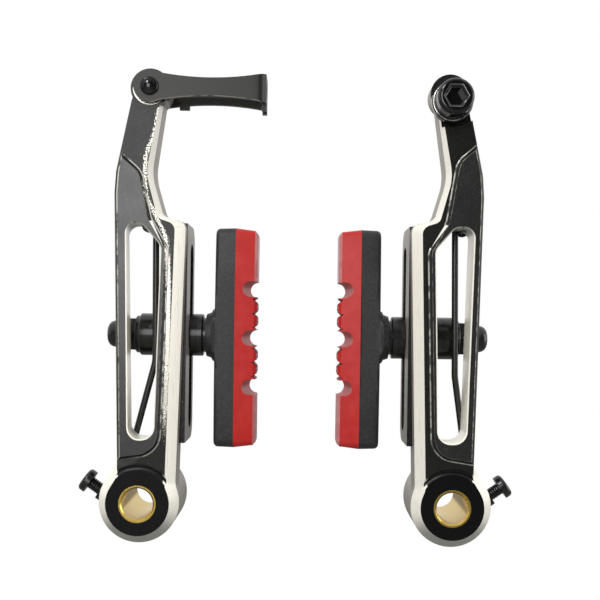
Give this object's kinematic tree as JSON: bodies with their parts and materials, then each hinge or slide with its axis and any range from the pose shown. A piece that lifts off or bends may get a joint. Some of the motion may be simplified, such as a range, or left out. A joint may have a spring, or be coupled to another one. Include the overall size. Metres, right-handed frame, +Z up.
{
  "type": "v brake",
  "caption": "Linear-pull bicycle brake: sprung arms on frame studs, bowed pads on ball washers, a hinged noodle link on one arm and a cable clamp bolt on the other.",
  "frame": {"origin": "midway between the two frame studs, in the plane of the studs' shoulders", "axes": "+X to the right seen from the front, +Y to the back, into the frame along the studs, +Z up along the arms"},
  "size_m": [0.1144, 0.0325, 0.1209],
  "materials": {
    "anodised_arm": "gloss black anodised, with machined bare bevels",
    "brass": "turned",
    "black_plastic": "moulded",
    "black_steel": "gloss black",
    "red_rubber": "moulded",
    "black_rubber": "moulded"
  },
  "bodies": {
    "studs": {"left_pivot_bush": "brass", "left_spring_holder": "black_plastic", "right_pivot_bush": "brass", "right_spring_holder": "black_plastic"},
    "left_arm": {"left_arm": "anodised_arm", "left_spring_stop": "black_steel", "left_return_spring": "black_steel"},
    "left_pad_seat": {"left_inner_cup_washer": "black_steel", "left_inner_dome_washer": "black_steel", "left_outer_cup_washer": "black_steel", "left_outer_dome_washer": "black_steel", "left_flat_washer": "black_steel", "left_pad_nut": "black_steel"},
    "left_pad": {"left_pad_post": "black_steel", "left_pad_carrier": "black_rubber", "left_pad_compound": "red_rubber"},
    "left_tension_screw": {"left_tension_screw": "black_steel"},
    "right_arm": {"right_arm": "anodised_arm", "right_spring_stop": "black_steel", "right_return_spring": "black_steel", "cable_clamp": "black_steel", "cable_bolt": "black_steel"},
    "right_pad_seat": {"right_inner_cup_washer": "black_steel", "right_inner_dome_washer": "black_steel", "right_outer_cup_washer": "black_steel", "right_outer_dome_washer": "black_steel", "right_flat_washer": "black_steel", "right_pad_nut": "black_steel"},
    "right_pad": {"right_pad_post": "black_steel", "right_pad_carrier": "black_rubber", "right_pad_compound": "red_rubber"},
    "right_tension_screw": {"right_tension_screw": "black_steel"},
    "noodle_link": {"noodle_link": "black_steel", "link_pin": "black_steel"}
  },
  "joints": [
    {"name": "left_arm_pivot", "type": "hinge", "parent": "studs", "child": "left_arm", "pos_m": [-0.04, -0.012, 0], "axis": [0, 1, 0], "range_deg": [-25, 6], "stiffness_Nm_per_rad": 0.5, "deforming": ["left_return_spring"]},
    {"name": "left_pad_height", "type": "slide", "parent": "left_arm", "child": "left_pad_seat", "axis": [0, 0, 1], "range_m": [-0.02, 0.019]},
    {"name": "left_pad_turn", "type": "hinge", "parent": "left_pad_seat", "child": "left_pad", "pos_m": [-0.022, -0.0078, 0.043], "axis": [1, 0, 0], "range_deg": [-90, 90]},
    {"name": "left_screw_turn", "type": "hinge", "parent": "left_arm", "child": "left_tension_screw", "pos_m": [-0.055, -0.013, 0.0042], "axis": [0.8192, 0, -0.5736], "range_deg": [-180, 180]},
    {"name": "right_arm_pivot", "type": "hinge", "parent": "studs", "child": "right_arm", "pos_m": [0.04, -0.012, 0], "axis": [0, -1, 0], "range_deg": [-25, 6], "stiffness_Nm_per_rad": 0.5, "deforming": ["right_return_spring"]},
    {"name": "right_pad_height", "type": "slide", "parent": "right_arm", "child": "right_pad_seat", "axis": [0, 0, 1], "range_m": [-0.02, 0.019]},
    {"name": "right_pad_turn", "type": "hinge", "parent": "right_pad_seat", "child": "right_pad", "pos_m": [0.022, -0.0078, 0.043], "axis": [1, 0, 0], "range_deg": [-90, 90]},
    {"name": "right_screw_turn", "type": "hinge", "parent": "right_arm", "child": "right_tension_screw", "pos_m": [0.055, -0.013, 0.0042], "axis": [-0.8192, 0, -0.5736], "range_deg": [-180, 180]},
    {"name": "link_swing", "type": "hinge", "parent": "left_arm", "child": "noodle_link", "pos_m": [-0.0382, -0.01985, 0.1058], "axis": [0, -1, 0], "range_deg": [-60, 90]}
  ]
}
